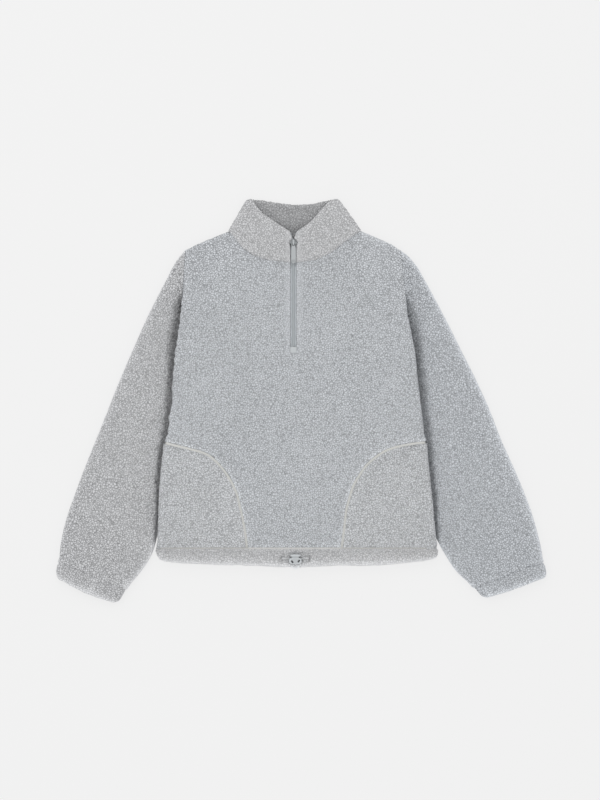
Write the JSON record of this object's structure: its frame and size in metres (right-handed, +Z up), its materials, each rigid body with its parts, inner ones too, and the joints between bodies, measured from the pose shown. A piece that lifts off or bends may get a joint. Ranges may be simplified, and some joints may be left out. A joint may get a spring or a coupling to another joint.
{
  "type": "sherpa fleece half-zip pullover",
  "caption": "Boxy grey sherpa fleece pullover laid flat, with stand collar, half zip, curved bound pockets, folded cuffs and a drawcord hem with cord lock.",
  "frame": {"origin": "middle of the laid garment's box, on the surface it lies on", "axes": "+X across the garment from the left-hand sleeve to the right-hand one as seen from above, +Y from hem to neck, +Z up out of the front"},
  "size_m": [0.8136, 0.6716, 0.0275],
  "materials": {
    "fleece": "curly grey sherpa pile",
    "binding": "smooth off-white knitted binding",
    "tape": "grey woven zip tape",
    "coil": "grey nylon zip coil",
    "hardware": "satin grey painted slider, pull and cord lock",
    "cord": "grey braided round cord"
  },
  "bodies": {
    "garment": {"front_body": "fleece", "back_body": "fleece", "sleeve_left": "fleece", "sleeve_right": "fleece", "cuff_left": "fleece", "cuff_right": "fleece", "collar": "fleece", "pocket_left": "fleece", "pocket_right": "fleece", "pocket_binding_left": "binding", "pocket_binding_right": "binding", "hem_casing": "fleece", "zip_tape": "tape", "zip_coil": "coil", "zip_patch": "tape", "zip_slider": "hardware", "drawcord": "cord", "cord_lock": "hardware"},
    "pull": {"pull_tab": "hardware"},
    "plunger": {"lock_plunger": "hardware"}
  },
  "joints": [
    {"name": "pull_swing", "type": "hinge", "parent": "garment", "child": "pull", "pos_m": [-0.0125, 0.262, 0.0166], "axis": [-1, 0, 0], "range_deg": [0, 150]},
    {"name": "lock_press", "type": "slide", "parent": "garment", "child": "plunger", "axis": [0, -1, 0], "range_m": [0, 0.0016], "stiffness_N_per_m": 500, "springref_m": -0.004}
  ]
}
